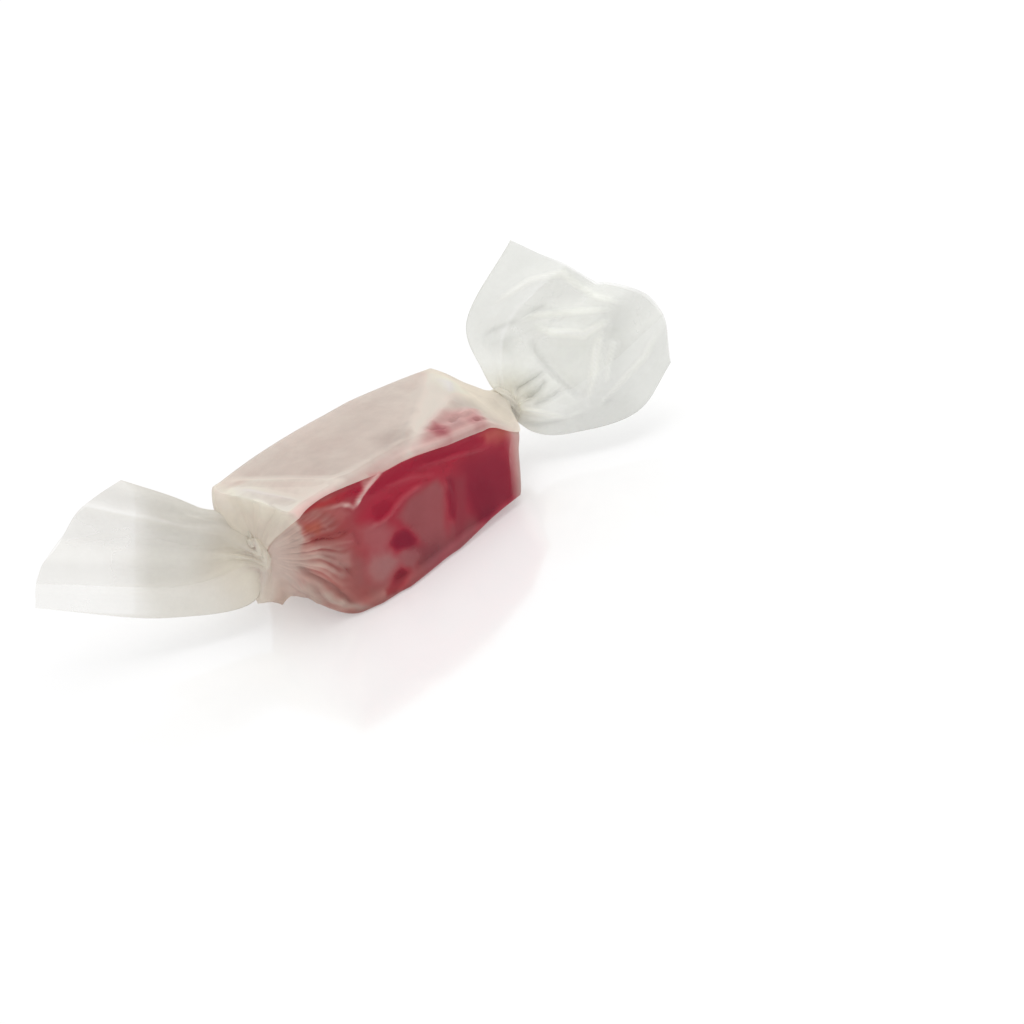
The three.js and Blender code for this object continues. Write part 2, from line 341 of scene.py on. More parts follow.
# Patches of the outer layer painted lighter and milkier as painted light, such as a facet tilted to the
# lamp, and painted darker and less milky as painted shade: by how much, how soft, and the outline
LIT_PATCHES = [
    (0.16, 0.4, [
        (-14.5, -4.5), (-11.3, -2.2), (-8.9, 3.4), (-7.2, 6.2), (-8.8, 6.5), (-13.4, 6.6), (-14.5, 3),
    ]),
    (0.2, 0.6, [
        (12.6, -5.3), (8.6, -0.6), (5.6, 1.9), (3.3, 3.6), (1.2, 5.4), (-0.8, 6.4), (0.6, 6.5),
        (2.3, 5.5), (4.2, 4.2), (6.2, 3.3), (8.7, 2.3), (11.5, 0.2), (13.2, -2.7),
    ]),
    (0.2, 0.8, [(12.2, -2.6), (13.5, -2), (13.5, 0.2), (11.4, -0.3)]),
]
SHADED_PATCHES = [
    (-0.2, 0.7, [(10.4, 1.7), (12.8, 0.7), (12.6, 2.4), (10.7, 3.2), (9.1, 3.3)]),
    (-0.2, 1, [(-0.5, 2.5), (2, 2.5), (3.2, 3), (1, 5), (-1.5, 5)]),
    (-0.06, 3, [(8, -4), (4, -4), (-7, -2), (-8, 3), (-3, 4.5), (2, 1)]),
]

# Camera: it stands where the photograph's did, worked out from the block's corners
CAMERA_PLACE = (-125.975, -213.421, 142.711)
CAMERA_AZIMUTH = 33.33
CAMERA_ELEVATION = 30.096
CAMERA_ROLL = 15.954
CAMERA_LENS = 100.195
SENSOR_WIDTH = 36.0

# What film_finish works out on the film's points (shade is its painted light and shade), and its colours
LOOKS = ("milk", "ivory", "warm", "shade", "cling", "tone")
CLEAR_TINT = (0.785, 0.795, 0.75, 1)
IVORY_TINT = (0.95, 0.90, 0.80, 1)
DEEP_RED = (0.30, 0.013, 0.043, 1)
BRIGHT_RED = (0.73, 0.014, 0.056, 1)
WARM_BROWN = (0.60, 0.17, 0.08, 1)
SUGAR_REDS = [(0.3, (0.24, 0.004, 0.018, 1)), (0.72, (0.42, 0.012, 0.035, 1))]


def smooth(value):
    value = np.clip(value, 0, 1)
    return value * value * (3 - 2 * value)


def ramp(value, start, end):
    return smooth((value - start) / (end - start))


def between(value, start, full, leave, end):
    """1 from full to leave, and 0 before the start and after the end."""
    return ramp(value, start, full) * (1 - ramp(value, leave, end))


def blend(first, second, share):
    return first + (second - first) * share


def unit(vectors):
    return vectors / np.maximum(np.linalg.norm(vectors, axis=-1, keepdims=True), HAIR)


def make_camera():
    azimuth, elevation, roll = map(math.radians, (CAMERA_AZIMUTH, CAMERA_ELEVATION, CAMERA_ROLL))
    back = Vector((
        -math.sin(azimuth) * math.cos(elevation),
        -math.cos(azimuth) * math.cos(elevation),
        math.sin(elevation),
    ))
    level = Vector((0, 0, 1)).cross(back).normalized()
    side = level * math.cos(roll) - back.cross(level) * math.sin(roll)
    up = back.cross(side)
    data = bpy.data.cameras.new("camera")
    data.lens = CAMERA_LENS
    data.sensor_width = SENSOR_WIDTH
    camera = bpy.data.objects.new("camera", data)
    turned = Matrix((side, up, back)).transposed().to_4x4()
    camera.matrix_world = Matrix.Translation(Vector(CAMERA_PLACE) * MM) @ turned
    bpy.context.collection.objects.link(camera)
    bpy.context.scene.camera = camera


# Curves

def walked(points):
    """Length walked along a path up to each of its points."""
    steps = np.linalg.norm(np.diff(points, axis=0), axis=1)
    return np.concatenate([[0], np.cumsum(steps)])


def spline(points, shares):
    """Centripetal Catmull-Rom curve through the points, at shares of its parameter."""
    points = np.asarray(points, float)
    points = np.vstack([2 * points[0] - points[1], points, 2 * points[-1] - points[-2]])
    spans = len(points) - 3
    place = np.clip(shares, 0, 1) * spans
    index = np.minimum(place.astype(int), spans - 1)
    t = (place - index)[:, None]
    p0, p1, p2, p3 = (points[index + step] for step in range(4))
    pairs = ((p0, p1), (p1, p2), (p2, p3))
    d0, d1, d2 = (np.sqrt(np.linalg.norm(end - start, axis=1))[:, None] for start, end in pairs)
    m1 = ((p1 - p0) / d0 - (p2 - p0) / (d0 + d1) + (p2 - p1) / d1) * d1
    m2 = ((p2 - p1) / d1 - (p3 - p1) / (d1 + d2) + (p3 - p2) / d2) * d1
    return (
        p1 + m1 * t
        + (3 * (p2 - p1) - 2 * m1 - m2) * t ** 2
        + (2 * (p1 - p2) + m1 + m2) * t ** 3
    )


def even_spline(points, shares):
    """The same curve at shares of its length."""
    fine = np.linspace(0, 1, 200)
    length = walked(spline(points, fine))
    return spline(points, np.interp(np.asarray(shares) * length[-1], length, fine))


# The block and the twists

def section_outline():
    """Rounded rectangle of the block's section, from the top's middle round by the front."""
    points = [(0, BLOCK_HEIGHT / 2)]
    for index, (sideways, upwards) in enumerate([(-1, 1), (-1, -1), (1, -1), (1, 1)]):
        turn = math.pi / 2 * (index + 1) + np.linspace(0, math.pi / 2, 9)
        radius = EDGE_RADIUS if upwards > 0 else FOOT_RADIUS
        across = sideways * (BLOCK_WIDTH / 2 - radius) + radius * np.cos(turn)
        up = upwards * (BLOCK_HEIGHT / 2 - radius) + radius * np.sin(turn)
        points += zip(across, up)
    points = np.array([*points, points[0]])
    length = walked(points)
    return length / length[-1], points


SECTION = section_outline()


def section(share):
    lengths, points = SECTION
    share = np.mod(share, 1)
    return np.interp(share, lengths, points[:, 0]), np.interp(share, lengths, points[:, 1])


def block_point(share, x):
    """Outside of the wrapped block, at a share round it and a place along it."""
    across, up = section(share)
    along = 2 * x / BLOCK_LENGTH
    middle = 1 - along ** 2
    up_share = up / BLOCK_HEIGHT + 0.5
    lean = LEFT["slant"] * smooth(-along) - RIGHT["slant"] * smooth(along)
    return np.stack(np.broadcast_arrays(
        x + lean * (1 - up_share),
        across * (1 + 2 * (SIDE_BOW * middle + FOOT_SPREAD * (1 - up_share)) / BLOCK_WIDTH),
        up_share * (BLOCK_HEIGHT - TOP_SLOPE * x + TOP_CROWN * middle),
    ), axis=-1)


def drawn_down(points):
    """How far the top's front right corner is drawn down to the twist, beyond a long crease."""
    x, y, z = np.moveaxis(points, -1, 0)
    past = np.clip((x - 8.4 - 1.3 * y) / 13.9, 0, 1.1)
    corner = ramp(x, 9.5, 13.5) * (1 - ramp(y, -3, 4))
    return (2.4 * past ** 1.3 + 1.6 * corner) * ramp(z, 3, 12)


def foot_rise(points):
    """How far the underside's front edge is rounded up, more and more to the right."""
    x, y, z = np.moveaxis(points, -1, 0)
    return np.interp(x, (2, 7, 12), (0, 0.55, 0.75)) * ramp(-y, 3.5, 7) * (1 - ramp(z, 0, 4))


def neck_point(side, share, along, turned):
    angle = 2 * math.pi * (share + turned)
    shift = side["sign"] * TWIST_LENGTH * (along - 0.5)
    ring = (shift, -TWIST_RADIUS * np.sin(angle), TWIST_RADIUS * np.cos(angle))
    return np.stack(np.broadcast_arrays(*ring), axis=-1) + np.array(side["twist"])


def end_point(side, share, inward):
    """Film drawn in from the block's end towards the twist."""
    outer = block_point(share, side["sign"] * BLOCK_LENGTH / 2)
    inner = neck_point(side, share, 0, 0)
    point = blend(outer, inner, inward ** side["bulge"])
    point[..., 0] = blend(outer[..., 0], inner[..., 0], inward)
    return point


def round_knot(points):
    """Places of points across and up from the left twist, seen along a line from the front."""
    line = unit(np.array(KNOT_VIEW))
    level = unit(np.cross((0, 0, 1), line))
    way = points - np.array(LEFT["twist"])
    return way @ level, way @ np.cross(line, level)


# Grids and meshes

def sample(grid, out, across):
    """Values of a grid at shares out and across, between its points."""
    rows, columns = grid.shape[0] - 1, grid.shape[1] - 1
    u, v = np.clip(out, 0, 1) * rows, np.clip(across, 0, 1) * columns
    i, j = np.minimum(u.astype(int), rows - 1), np.minimum(v.astype(int), columns - 1)
    u, v = (u - i)[..., None], (v - j)[..., None]
    near = grid[i, j] * (1 - v) + grid[i, j + 1] * v
    far = grid[i + 1, j] * (1 - v) + grid[i + 1, j + 1] * v
    return near * (1 - u) + far * u


def grid_faces(rows, columns, closed=False):
    index = np.arange(rows * columns).reshape(rows, columns)
    if closed:
        index = np.hstack([index, index[:, :1]])
    corners = (index[:-1, :-1], index[:-1, 1:], index[1:, 1:], index[1:, :-1])
    return np.stack(corners, axis=-1).reshape(-1, 4).tolist()


def grid_normals(points):
    return unit(np.cross(np.gradient(points, axis=1), np.gradient(points, axis=0)))


def mesh_object(name, points, faces, attributes=None):
    """Smooth mesh object from points in millimetres, with float attributes on its points."""
    mesh = bpy.data.meshes.new(name)
    mesh.from_pydata((np.asarray(points) * MM).tolist(), [], faces)
    for key, values in (attributes or {}).items():
        layer = mesh.attributes.new(key, "FLOAT", "POINT")
        layer.data.foreach_set("value", np.ascontiguousarray(values, np.float32).ravel())
    mesh.polygons.foreach_set("use_smooth", [True] * len(mesh.polygons))
    mesh.update()
    made = bpy.data.objects.new(name, mesh)
    bpy.context.collection.objects.link(made)
    return made


# Folds, creases and patches

def gathers(share, rng, count):
    """Uneven zigzag round the sheet, with its turns at scattered places and of scattered depth."""
    places = (np.arange(count) + rng.uniform(0.05, 0.95, count)) / count * 1.5 - 0.25
    heights = rng.uniform(0.3, 1, count) * np.where(np.arange(count) % 2, 1, -1)
    return np.interp(share, places, heights)


def scattered(share, rng, count, low, high):
    """Smoothly changing random value round the sheet."""
    return np.interp(share, np.linspace(-0.25, 1.25, count), rng.uniform(low, high, count))


def facets(across, along, rng, size, spacing, height):
    """Crumple of flat facets: random heights at scattered points, joined by triangles."""
    width, length = size
    count = int(width * length / (spacing[0] * spacing[1]))
    inner = rng.random((count, 2)) * size
    steps = np.linspace(-0.05, 1.05, 5)
    rim = [(width * u, length * v) for u in steps for v in steps if not (0 < u < 1 and 0 < v < 1)]
    heights = rng.uniform(-1, 1, len(inner) + len(rim)) * height
    corners = np.vstack([inner, rim]) / spacing
    triangles = delaunay_2d_cdt([Vector(corner) for corner in corners], [], [], 0, HAIR)[2]
    u, v = np.broadcast_arrays(across / spacing[0], along / spacing[1])
    result = np.zeros(u.shape)
    for triangle in triangles:
        low, high = corners[triangle].min(axis=0), corners[triangle].max(axis=0)
        near = np.nonzero((u >= low[0]) & (u <= high[0]) & (v >= low[1]) & (v <= high[1]))
        a, b, c = corners[triangle]
        first, second = b - a, c - a
        area = first[0] * second[1] - first[1] * second[0]
        du, dv = u[near] - a[0], v[near] - a[1]
        to_b = (du * second[1] - dv * second[0]) / area
        to_c = (dv * first[0] - du * first[1]) / area
        hit = (to_b >= -HAIR) & (to_c >= -HAIR) & (to_b + to_c <= 1 + HAIR)
        base, at_b, at_c = heights[triangle]
        raised = base + (at_b - base) * to_b + (at_c - base) * to_c
        result[tuple(index[hit] for index in near)] = raised[hit]
    return result


def to_segment(points, start, end):
    """Share of a segment that lies nearest to each point, and how far off the point lies."""
    span = end - start
    share = np.clip((points - start) @ span / (span @ span), 0, 1)
    return share, np.linalg.norm(points - (start + share[..., None] * span), axis=-1)


def ridge(points, path, width):
    """How near each point lies to a path: 1 on it, 0 from its width on, fading to the path's ends."""
    path = np.asarray(path, float)
    lengths = walked(path)
    best = np.zeros(points.shape[:-1])
    for start, end, before, after in zip(path, path[1:], lengths, lengths[1:]):
        share, distance = to_segment(points, start, end)
        along = blend(before, after, share) / lengths[-1]
        taper = smooth(np.minimum(along, 1 - along) / 0.2 + 0.15)
        best = np.maximum(best, np.clip(1 - distance / width, 0, 1) * taper)
    return best


def patch(across, up, outline, soft):
    """1 inside an outline, 0 outside it, over a soft border."""
    points = np.stack([across, up], axis=-1)
    corners = np.array(outline, float)
    inside = np.zeros(across.shape, bool)
    nearest = np.full(across.shape, np.inf)
    for start, end in zip(corners, np.roll(corners, -1, axis=0)):
        run, rise = end - start
        crosses = (start[1] > up) != (end[1] > up)
        inside ^= crosses & (across < start[0] + (up - start[1]) * run / (rise or HAIR))
        nearest = np.minimum(nearest, to_segment(points, start, end)[1])
    return ramp(np.where(inside, nearest, -nearest), -soft, soft)


def patch_sum(patches, across, up):
    return sum(change * patch(across, up, outline, soft) for change, soft, outline in patches)


# Tails

def around(share):
    """Where a share of the film lies in a tail: whether in front, and how far across it."""
    turned = np.mod(share + TWIST_TURN, 1)
    front = turned < 0.5
    return front, np.where(front, 2 * turned, 2 - 2 * turned)


def tail_surface(side):
    """The tail's middle surface as a fine grid of points and normals, by share out and across."""
    outs, across = np.linspace(0, 1, 161), np.linspace(0, 1, 121)
    ribs = np.stack([even_spline([side["twist"], *rib], outs) for rib in side["ribs"]])
    rows = [spline(ribs[:, row], across) for row in range(1, len(outs))]
    points = np.stack([np.zeros((len(across), 3)) + side["twist"], *rows])
    normals = grid_normals(points) * side["sign"]
    normals[:6] = normals[6]
    return points, normals


def cut_limit(side, share):
    """How far out along the tail the sheet is cut, column by column."""
    front, across = around(share)
    rng = np.random.default_rng(side["cut_seed"])
    uneven = 0.006 * gathers(share, rng, 15) * np.minimum(1, 8 * np.minimum(across, 1 - across))
    front_limit, back_limit = (np.interp(across, *side[cut]) for cut in ("front_cut", "back_cut"))
    return np.where(front, front_limit, back_limit) + uneven - 0.006


def tail_form(side, front, across, out):
    """How far both layers of a tail stand off its middle surface, with their waves and crumple."""
    inside = 1 - (2 * across - 1) ** 2
    half = (0.12 + side["puff"] * ramp(out, 0.05, 0.8)) * np.sqrt(inside)
    waves = sum(np.sin(2 * math.pi * count * across + side["phase"]) for count in TAIL_WAVE_COUNTS)
    offset = TAIL_WAVE * inside * out * waves + np.where(front, half, -half)
    rng = np.random.default_rng(side["seed"])
    places = (across * TAIL_SIZE[0], out * TAIL_SIZE[1])
    for layer in (front, ~front):
        big = facets(*places, rng, TAIL_SIZE, side["big"], 0.5)
        little = facets(*places, rng, TAIL_SIZE, side["little"], 0.2)
        crumple = side["crumple"] * (big * ramp(out, 0.05, 0.5) + little * ramp(out, 0.1, 0.4))
        offset = offset + layer * crumple * (0.25 + 0.75 * inside)
    return offset


def tail_sheet(side, share):
    """Points of one tail's rows, how far out they lie, and how its creases are painted: light ones
    milkier with a painted highlight, dark ones with painted shade.
    """
    points, normals = tail_surface(side)
    out = (np.linspace(0, 1, side["rows"] + 1)[1:] ** 1.15)[:, None] * cut_limit(side, share)
    front, across = around(share)
    across = np.broadcast_to(across, out.shape)
    place, normal = sample(points, out, across), unit(sample(normals, out, across))
    offset = tail_form(side, front, across, out)
    painted_light_and_milk = np.zeros(out.shape)
    for on_front, width, height, light_and_milk, path in side["creases"]:
        spots = np.array(path)
        line = sample(points, spots[:, 1], spots[:, 0])
        layer = front if on_front else ~front
        offset += layer * height * ridge(place, line, width)
        # Light creases are painted milkier with a painted highlight, dark ones with painted shade.
        painted_light_and_milk += layer * side["contrast"] * light_and_milk * ridge(place, line, TAIL_PAINT)
    painted_light_and_milk += front * patch_sum(side["shades"], across, out)
    sheet = place + normal * offset[..., None]
    root = between(out, 0, 0.15, 0.15, 0.5) * (1 - ramp(across, 0, 0.5))
    sheet = sheet + root[..., None] * np.array(side["lift"])
    neck = neck_point(side, share, 1, TWIST_TURN)
    return blend(neck, sheet, smooth(out / TAIL_ROOT)[..., None]), out, painted_light_and_milk


def side_sheet(side, share):
    """Rows from the block's end out to the tail's cut edge, their spots, and their creases' painted
    highlight and shade.
    """
    inward = np.linspace(0, 1, END_ROWS + 1)[1:]
    along = np.linspace(0, 1, TWIST_ROWS + 1)[1:]
    end = [end_point(side, share, part) for part in inward]
    twist = [neck_point(side, share, part, TWIST_TURN * part) for part in along]
    tail, out, painted_light_and_milk = tail_sheet(side, share)
    points = np.concatenate([np.stack(end + twist), tail])
    spot = np.concatenate([1 + inward, 2 + along])[:, None] + 0 * share
    plain = np.zeros(spot.shape)
    return points, np.vstack([spot, 3 + out]), np.vstack([plain, painted_light_and_milk])


# The film's form

def outer_edge_drop(x):
    """How far the overlap's free edge lies below the block's front top edge, in millimetres."""
    places = (-15, -12.5, -10, -8, -6.7, -5.6, -3.6, 0.3, 2.5, 4.5, 7.1, 9.1, 10.8, 14)
    drops = (-0.7, -0.6, -0.4, -0.12, 0.05, 0.18, 0.45, 0.5, 0.55, 0.6, 0.45, 0.35, 0.1, 0)
    return np.interp(x, places, drops)


def film_sheet():
    """The film's smooth sheet. Its columns lie closest on the front and on the outer layer."""
    share = np.interp(
        np.linspace(0, 1, FILM_COLUMNS),
        (0, 0.16, 0.5, 0.62, 1),
        (INNER_EDGE, 0.1, 0.42, 0.75, OUTER_EDGE),
    )
    left, left_spot, left_light_and_milk = side_sheet(LEFT, share)
    right, right_spot, right_light_and_milk = side_sheet(RIGHT, share)
    along = np.linspace(-1, 1, BODY_ROWS + 1)[:, None]
    block_x = BLOCK_LENGTH / 2 * along
    # The free edge wanders, so the last columns are drawn to it.
    wander = ramp(share, 1.02, OUTER_EDGE) * (1 - np.abs(along) ** 6) / FILM_ROUND
    body = block_point(share + wander * outer_edge_drop(block_x), block_x)
    spot = np.vstack([-left_spot[::-1], along + 0 * share, right_spot])
    side_of = np.abs(spot)
    return SimpleNamespace(
        points=np.concatenate([left[::-1], body, right]),
        share=share + 0 * spot,
        spot=spot,
        side_of=side_of,
        out=np.clip(side_of - 3, 0, 1),
        on_left=spot < 0,
        on_body=1 - ramp(side_of, 1, 1.6),
        painted_light_and_milk=np.vstack([left_light_and_milk[::-1], np.zeros(body.shape[:2]), right_light_and_milk]),
    )


def soften_turn(film):
    """Draws the film in a soft curve where it turns from the left end into the twist."""
    turning = 0.5 * film.on_left * between(film.side_of, 1.78, 1.9, 2.3, 2.6)
    for _ in range(14):
        middle = (film.points[2:] + film.points[:-2]) / 2
        film.points[1:-1] += turning[1:-1, :, None] * (middle - film.points[1:-1])


def layer_gap(film):
    """The overlap's inner layer lies close to the sweet, and the layers part a little in the tails."""
    under = 1 - ramp(film.share, 0.10, 0.15)
    over = ramp(film.share, 0.86, 0.9)
    parted = (0.1 + 0.12 * ramp(film.out, 0.1, 0.4)) * (over - under)
    return blend(parted, -OVERLAP_GAP * under, film.on_body)


def twist_gathers(film):
    """Gathers run through the twists, on to the block's edges and out into the tails."""
    gathered = 0
    for sign in (-1, 1):
        rng = np.random.default_rng(31 + sign)
        drift = film.share + 0.012 * np.sin(5 * film.side_of + 9 * film.share)
        deep = 0.26 * gathers(drift, rng, 23)
        fine = 0.12 * gathers(drift, rng, 51)
        reach = scattered(film.share, rng, 20, 0.15, 0.7)
        start = scattered(film.share, rng, 24, 0.75, 1.25)
        deep *= ramp(film.side_of, start, start + 0.8) * (1 - ramp(film.out, 0.02, reach))
        fine *= ramp(film.side_of, start + 0.1, start + 0.7) * (1 - ramp(film.out, 0.02, 0.7 * reach))
        gathered = gathered + (deep + fine) * (np.sign(film.spot) == sign)
    return gathered


def end_rays(film, distance):
    """Fine gathers that fan out from the left twist over the block's end and low front."""
    rng = np.random.default_rng(17)
    turn = np.arctan2(film.knot_up, film.knot_across) / (2 * math.pi)
    turn = turn + 0.006 * np.sin(1.3 * distance + 14 * turn) + 0.5
    rays = 0.6 * gathers(turn, rng, 84) + 0.6 * gathers(turn, rng, 171)
    low_front = between(film.share, 0.125, 0.16, 0.45, 0.55) * film.on_left
    faded = ramp(distance, 4, scattered(turn, rng, 40, 8, 13))
    return rays * low_front * (1 - faded) * (1 - ramp(film.side_of, 1.7, 2))


def body_facets(film, seed, spacing, height):
    """Facets of the film over the block, by a seed of their own."""
    places = (film.share * FILM_ROUND + 8, film.points[..., 0] + 18)
    return facets(*places, np.random.default_rng(seed), BODY_SIZE, spacing, height)


def named_creases(film):
    """Each named crease of the block: where it may lie, its points' places, its path and its values."""
    outer = film.on_body * ramp(film.share, 0.84, 0.87)
    front = film.on_body * between(film.share, 0.12, 0.14, 0.38, 0.42)
    end = film.on_left * between(film.share, 0.12, 0.14, 0.45, 0.5) * (1 - ramp(film.side_of, 1.9, 2))
    seen = np.stack([film.knot_across, film.knot_up], axis=-1)
    for width, height, light_and_milk, path in OUTER_CREASES:
        line = [block_point(1 + forward / FILM_ROUND, x) for x, forward in path]
        yield outer, film.points, line, (width, height, CREASE_PAINT, light_and_milk)
    for width, height, light_and_milk, path in FRONT_CREASES:
        line = [(x, FRONT_FACE, z) for x, z in path]
        yield front, film.points, line, (width, height, CREASE_PAINT, light_and_milk)
    for width, height, light_and_milk, path in END_CREASES:
        yield end, seen, path, (width, height, 0.6 * width, light_and_milk)


def folded(film):
    """How far the film's folds push it out. Named creases are painted on it too, with painted highlight
    and painted shade.
    """
    distance = np.hypot(film.knot_across, film.knot_up)
    film.gathered = twist_gathers(film)
    film.rays = end_rays(film, distance)
    bulb = between(film.side_of, 1.5, 2.2, 2.8, 3.1)
    push = layer_gap(film) + film.gathered * (1 - np.where(film.on_left, 0.9, 0.6) * bulb)
    push = push + 0.16 * film.rays * ramp(distance, 1, 3) + bulb * np.where(film.on_left, 0.3, 0.5)
    crumple = 0.8 * body_facets(film, 4, (5, 6), 0.1)
    push = push + film.on_body * (crumple + 0.2 * ramp(film.share, 1.09, 1.13))
    for layer, places, path, (width, height, painted, light_and_milk) in named_creases(film):
        push = push + layer * height * ridge(places, path, width)
        # Light creases are painted milkier with a painted highlight, dark ones with painted shade.
        film.painted_light_and_milk = film.painted_light_and_milk + layer * light_and_milk * ridge(places, path, painted)
    return push


def loosen_foot(film):
    """Loose film stands off along the front's foot, most of all in its left half."""
    x, y, z = np.moveaxis(film.points, -1, 0)
    loose = np.interp(x, (-12, -10.5, -8.3, -5, -2), (0, 0.35, 1.0, 0.95, 0)) * (1 - ramp(z, 0, 3.5))
    spread = np.interp(x, (-6, -2, 1, 4, 9), (0, 0.8, 0.45, 0.25, 0)) * (1 - ramp(z, 0, 10))
    film.points[..., 1] -= (loose + spread) * ramp(-y, 2, 6) * (film.side_of < 2)
    film.points[..., 2] += foot_rise(film.points)


def lift_ear(film):
    """The film stands out as an ear at the back of the left end."""
    y, z = film.points[..., 1], film.points[..., 2]
    from_knot = np.hypot(y - LEFT["twist"][1], z - LEFT["twist"][2])
    ear = np.sin(math.pi * np.clip((from_knot - TWIST_RADIUS) / 7.5, 0, 1))
    ear = ear * np.exp(-((film.share - 0.88) / 0.1) ** 2)
    film.points[..., 0] -= 1.6 * ear * (film.spot < -1) * (film.spot > -2.1)


def hang_pleat(film):
    """A pleat hangs under the left twist, spreading downwards."""
    turned = film.share + TWIST_TURN * np.clip(film.side_of - 2, 0, 1)
    hang = np.exp(-((turned - 0.5) / 0.09) ** 2) * film.on_left
    fall = np.interp(film.side_of, (1.68, 1.85, 2, 2.9, 3.08), (0, 1.9, 4.3, 2.9, 0))
    lean = np.interp(film.side_of, (1.6, 1.9, 2.9, 3.08), (0, 0.4, -1.6, 0))
    film.points[..., 2] -= hang * fall
    film.points[..., 0] += hang * lean


def make_film():
    film = film_sheet()
    soften_turn(film)
    film.knot_across, film.knot_up = round_knot(film.points)
    film.points = film.points + grid_normals(film.points) * folded(film)[..., None]
    film.points[..., 2] -= np.clip(2 - film.side_of, 0, 1) * drawn_down(film.points)
    loosen_foot(film)
    lift_ear(film)
    hang_pleat(film)
    film.points[..., 2] = np.maximum(film.points[..., 2], 0.0)
    faces = grid_faces(*film.spot.shape)
    return mesh_object("film", film.points.reshape(-1, 3), faces, film_finish(film))


# The film's finish

def paint(film, look, target, mask):
    setattr(film, look, blend(getattr(film, look), target, mask))


def paint_patches(film, patches, mask, across, up):
    """Paints patches of the sweet's colour, one over the other, with painted light and shade over them.
    """
    painted_light = np.zeros(across.shape)
    for clinging, light, lighter, soft, outline in patches:
        inside = mask * patch(across, up, outline, soft)
        paint(film, "cling", clinging, inside)
        paint(film, "tone", light, inside)
        painted_light = blend(painted_light, lighter, inside)
    film.shade += painted_light


def mark_regions(film):
    """Masks of the film's regions, once it has its form."""
    share, side_of = film.share, film.side_of
    film.x, _, film.z = np.moveaxis(film.points, -1, 0)
    film.warp = 0.12 * np.sin(1.9 * film.x + 1.1 * film.z) + 0.08 * np.sin(4.3 * film.z - 2.3 * film.x)
    film.on_right = 1 - film.on_left
    film.on_block = 1 - ramp(side_of, 1, 1.5)
    film.on_tail = ramp(side_of, 3.0, 3.3)
    film.front = between(share, 0.115, 0.13, 0.42, 0.48) * ramp(film.z, -0.2, 0.1)
    film.hidden = ramp(share, 0.42, 0.48)
    film.outer = ramp(share, 0.845, 0.87)
    film.low_front = between(share, 0.12, 0.14, 0.5, 0.6) * film.on_left
    film.near_end = film.low_front * (1 - ramp(film.knot_across + 0.8 * film.rays, 5, 10.5))
    film.right_front = between(share, 0.1, 0.16, 0.45, 0.55) * film.on_right
    film.loosened = body_facets(film, 5, (3.5, 5), 1)
    right_edge = 0.93 - 0.05 * ramp(film.z, 4, 9) - 0.04 * ramp(film.z, 8.4, 9.6)
    edge = np.where(film.on_left, 1.1, right_edge) + 0.05 * film.hidden * film.loosened
    film.packed = ramp(side_of, edge - 0.05, edge + blend(0.1, 0.4, film.on_left))


def finish_left_end(film):
    """Towards the left twist it stands off the sweet more and more, least between its gathers. Painted
    light and shade follow its gathers, with painted shade along its foot and on the hanging pleat.
    """
    across, near_end = film.knot_across, film.near_end
    off = np.interp(across, (1.2, 1.9, 2.4, 3.2, 7), (0, 0.13, 0.25, 0.42, 0.52))
    paint(film, "cling", np.clip(off - 0.35 * film.rays * ramp(across, 1.5, 4), 0, 1), near_end)
    paint(film, "tone", 0.15, near_end)
    for change, lighter, soft, outline in END_PATCHES:
        mask = near_end * patch(across + film.warp, film.knot_up + film.warp, outline, soft)
        film.cling += change * mask
        film.shade += lighter * mask
    film.cling = np.clip(film.cling, 0, 1)
    # Painted light and shade along the fanning gathers, and painted shade along the foot.
    film.shade += near_end * (0.03 + 0.34 * film.rays - 0.15 * (1 - ramp(film.z, 0.2, 1.2)))
    film.warm += near_end * (0.2 * ramp(across, 1, 3) + 0.12 * ramp(across, -1, 1))
    pleat = film.low_front * between(film.side_of, 1.85, 2.0, 2.7, 3.0) * ramp(film.share, 0.35, 0.45)
    # The hanging pleat gets painted shade, and is browner.
    film.shade -= 0.15 * pleat
    film.warm += 0.15 * pleat


def finish_front(film):
    """Over the front it clings, but for patches where it stands off, milky. It gets painted light and
    shade in patches, and painted shade towards its foot.
    """
    x, z, warp, front = film.x, film.z, film.warp, film.front
    paint_patches(film, FRONT_PATCHES, front, x + 0.6 * warp, z + 0.4 * warp)
    paint(film, "milk", 0.95, front * film.on_block * (1 - ramp(z, 0.8, 1.8)))
    # Painted shade along the front's foot, and more of it low in its right half.
    film.shade -= 0.35 * front * (1 - ramp(z, 0.2, 1.2))
    film.shade -= 0.2 * front * (1 - ramp(z, 1, 4)) * ramp(x, -6, 0)
    film.warm += front * patch_sum(WARM_PATCHES, x + warp, z + 0.6 * warp)


def finish_hidden_sides(film):
    """Behind and below, it clings here more, there less."""
    film.cling += 0.22 * film.hidden * film.loosened
    film.tone += 0.4 * film.hidden * body_facets(film, 6, (4, 6), 1)


